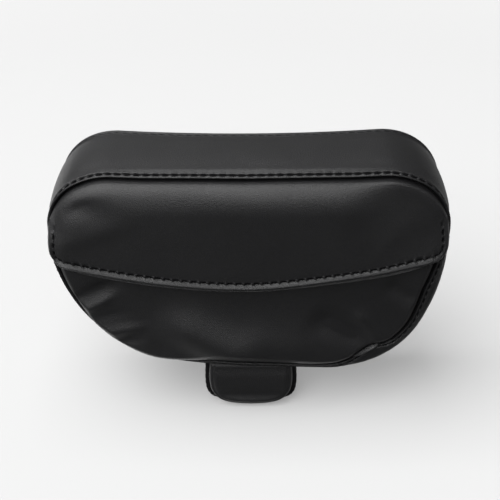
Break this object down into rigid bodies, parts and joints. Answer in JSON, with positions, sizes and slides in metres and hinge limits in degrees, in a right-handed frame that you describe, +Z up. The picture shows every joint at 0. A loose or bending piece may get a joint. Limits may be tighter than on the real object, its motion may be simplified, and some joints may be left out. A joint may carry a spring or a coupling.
{
  "type": "motorcycle rider backrest",
  "caption": "Black vinyl backrest cushion with a flap pouch on its rear, on a steel spine plate whose covered tongue bolts to the motorcycle.",
  "frame": {"origin": "midway between the two bolt holes of the tongue, on the blade's front face that seats on the motorcycle", "axes": "+X across the pad to the right as seen from behind, +Y forward to the rider's back, +Z up"},
  "size_m": [0.3, 0.1019, 0.222],
  "materials": {
    "black_vinyl": "fine-grained black vinyl, satin",
    "lining_cloth": "matt black woven lining",
    "woven_tape": "matt black woven tape",
    "foam": "open-cell upholstery foam",
    "plywood": "birch plywood",
    "black_steel": "black powder coat, satin",
    "zinc_steel": "bright zinc plate"
  },
  "bodies": {
    "root": {"front_panel": "black_vinyl", "boxing_band": "black_vinyl", "rear_lining": "lining_cloth", "foam_pad": "foam", "rear_foam": "foam", "back_board": "plywood", "spine_plate": "black_steel", "spine_washers": "zinc_steel", "spine_bolts": "zinc_steel", "tee_nuts": "zinc_steel", "pouch_panel": "black_vinyl", "pouch_binding": "woven_tape", "loop_strip": "woven_tape", "hook_strip": "woven_tape", "flap_lining": "lining_cloth", "pouch_flap": "black_vinyl", "boot_panel": "black_vinyl", "boot_gusset": "woven_tape", "boot_foam": "foam", "weld_nuts": "zinc_steel"}
  },
  "joints": []
}
